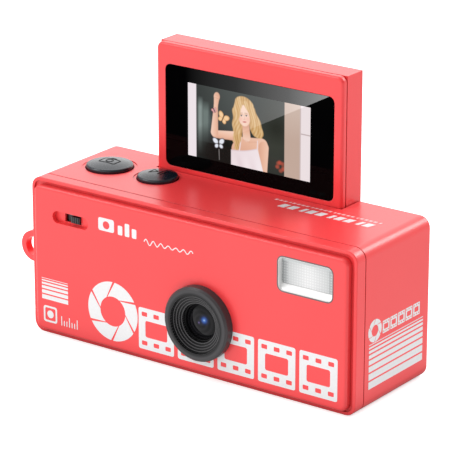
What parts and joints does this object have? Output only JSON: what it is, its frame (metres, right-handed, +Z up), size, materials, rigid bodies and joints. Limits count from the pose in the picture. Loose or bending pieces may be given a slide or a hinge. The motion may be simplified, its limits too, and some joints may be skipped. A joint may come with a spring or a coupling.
{
  "type": "compact digital camera",
  "caption": "Palm-size block-shaped digital camera with a raised fixed lens, flash window, top buttons, strap eye and a hinged screen that flips up to face forward.",
  "frame": {"origin": "centre of the flat base, half way through the body's depth, on the plane the camera stands on", "axes": "+Z up; the lens looks along -Y; +X runs along the body's width towards the flash, away from the strap eye"},
  "size_m": [0.0631, 0.0221, 0.0443],
  "materials": {
    "red_shell": "satin coral-red moulded ABS",
    "red_plate": "satin to semi-gloss coral-red moulded ABS",
    "lens_black": "black, fine satin",
    "lens_glass": "coated optical glass with a blue cast",
    "flash_clear": "clear ribbed acrylic",
    "white_plastic": "white, glossy",
    "led_yellow": "yellow phosphor",
    "grey_plastic": "dark grey, satin",
    "button_black": "dark charcoal, satin",
    "circuit_board": "green solder mask",
    "chip": "black moulded package",
    "plated_steel": "plated sheet",
    "screw_steel": "machined",
    "plated_brass": "turned",
    "battery_foil": "matt foil pouch",
    "speaker_black": "black frame",
    "screen_glass": "black-printed cover glass",
    "lcd": "display panel"
  },
  "bodies": {
    "body": {"front_shell": "red_shell", "front_plate": "red_plate", "rear_shell": "red_shell", "lens_ring": "lens_black", "lens_barrel": "lens_black", "front_lens": "lens_glass", "sensor_board": "circuit_board", "image_sensor": "chip", "flash_frame": "white_plastic", "flash_window": "flash_clear", "flash_reflector": "white_plastic", "flash_led": "led_yellow", "flash_board": "circuit_board", "slide_switch": "plated_steel", "tact_switches": "plated_steel", "control_board": "circuit_board", "key_board": "circuit_board", "key_switches": "plated_steel", "main_board": "circuit_board", "processor": "chip", "memory_chip": "chip", "battery": "battery_foil", "usb_port": "plated_steel", "card_socket": "plated_steel", "speaker": "speaker_black", "microphone": "plated_brass", "shell_screws": "screw_steel", "board_screws": "screw_steel", "hinge_bushes": "plated_brass"},
    "slider": {"power_slider": "grey_plastic"},
    "shutter": {"shutter_button": "button_black"},
    "mode": {"mode_button": "button_black"},
    "key_up": {"rear_keys_up": "button_black"},
    "key_ok": {"rear_keys_ok": "button_black"},
    "key_down": {"rear_keys_down": "button_black"},
    "screen": {"screen_cover": "red_shell", "screen_bezel": "red_plate", "screen_glass": "screen_glass", "lcd_panel": "lcd", "backlight": "white_plastic", "screen_board": "circuit_board", "screen_screws": "screw_steel", "hinge_pins": "screw_steel"}
  },
  "joints": [
    {"name": "screen_flip", "type": "hinge", "parent": "body", "child": "screen", "pos_m": [0.00026, 0.00771, 0.02217], "axis": [-1, 0, 0], "range_deg": [0, 180]},
    {"name": "power_slide", "type": "slide", "parent": "body", "child": "slider", "axis": [-1, 0, 0], "range_m": [0, 0.0014]},
    {"name": "shutter_press", "type": "slide", "parent": "body", "child": "shutter", "axis": [0, 0, -1], "range_m": [0, 0.0005], "stiffness_N_per_m": 400, "springref_m": -0.0004},
    {"name": "mode_press", "type": "slide", "parent": "body", "child": "mode", "axis": [0, 0, -1], "range_m": [0, 0.0005], "stiffness_N_per_m": 400, "springref_m": -0.0004},
    {"name": "key_up_press", "type": "slide", "parent": "body", "child": "key_up", "axis": [0, -1, 0], "range_m": [0, 0.0004], "stiffness_N_per_m": 400, "springref_m": -0.0004},
    {"name": "key_ok_press", "type": "slide", "parent": "body", "child": "key_ok", "axis": [0, -1, 0], "range_m": [0, 0.0004], "stiffness_N_per_m": 400, "springref_m": -0.0004},
    {"name": "key_down_press", "type": "slide", "parent": "body", "child": "key_down", "axis": [0, -1, 0], "range_m": [0, 0.0004], "stiffness_N_per_m": 400, "springref_m": -0.0004}
  ]
}
